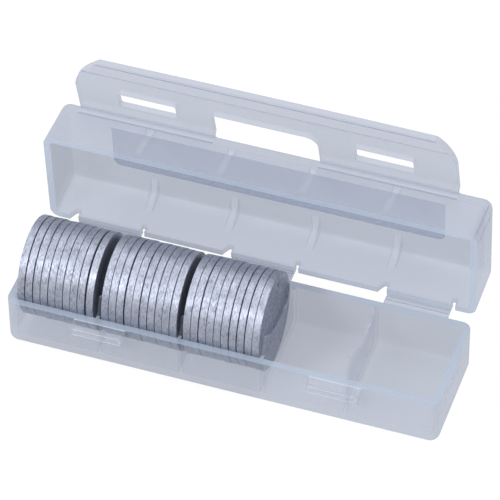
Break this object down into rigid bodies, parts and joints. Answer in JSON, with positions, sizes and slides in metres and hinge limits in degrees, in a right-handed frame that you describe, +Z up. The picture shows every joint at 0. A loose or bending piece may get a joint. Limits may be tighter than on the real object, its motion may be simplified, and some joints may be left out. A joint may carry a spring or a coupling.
{
  "type": "coin storage case",
  "caption": "Translucent hinged coin case with divided tray, folding lid, latch flap with slots and stacks of plain discs.",
  "frame": {"origin": "centre of the tray's flat underside", "axes": "+X along the case's length, -Y the latch side, +Z up, lid stored open as pictured"},
  "size_m": [0.0894, 0.0393, 0.0522],
  "materials": {
    "polypropylene": "frosted translucent, satin",
    "coin_metal": "worn, satin"
  },
  "bodies": {
    "tray": {"tray": "polypropylene", "coin_01": "coin_metal", "coin_02": "coin_metal", "coin_03": "coin_metal", "coin_04": "coin_metal", "coin_05": "coin_metal", "coin_06": "coin_metal", "coin_07": "coin_metal", "coin_08": "coin_metal", "coin_09": "coin_metal", "coin_10": "coin_metal", "coin_11": "coin_metal", "coin_12": "coin_metal", "coin_13": "coin_metal", "coin_14": "coin_metal", "coin_15": "coin_metal", "coin_16": "coin_metal", "coin_17": "coin_metal", "coin_18": "coin_metal", "coin_19": "coin_metal", "coin_20": "coin_metal", "coin_21": "coin_metal", "coin_22": "coin_metal", "coin_23": "coin_metal", "coin_24": "coin_metal", "coin_25": "coin_metal", "coin_26": "coin_metal", "coin_27": "coin_metal", "coin_28": "coin_metal", "coin_29": "coin_metal", "coin_30": "coin_metal"},
    "lid": {"lid": "polypropylene"},
    "flap": {"latch_flap": "polypropylene"}
  },
  "joints": [
    {"name": "lid_hinge", "type": "hinge", "parent": "tray", "child": "lid", "pos_m": [0, 0.01284, 0.0103], "axis": [1, 0, 0], "range_deg": [-60, 86]},
    {"name": "flap_hinge", "type": "hinge", "parent": "lid", "child": "flap", "pos_m": [0, 0.02273, 0.03466], "axis": [1, 0, 0], "range_deg": [-45, 61]}
  ]
}
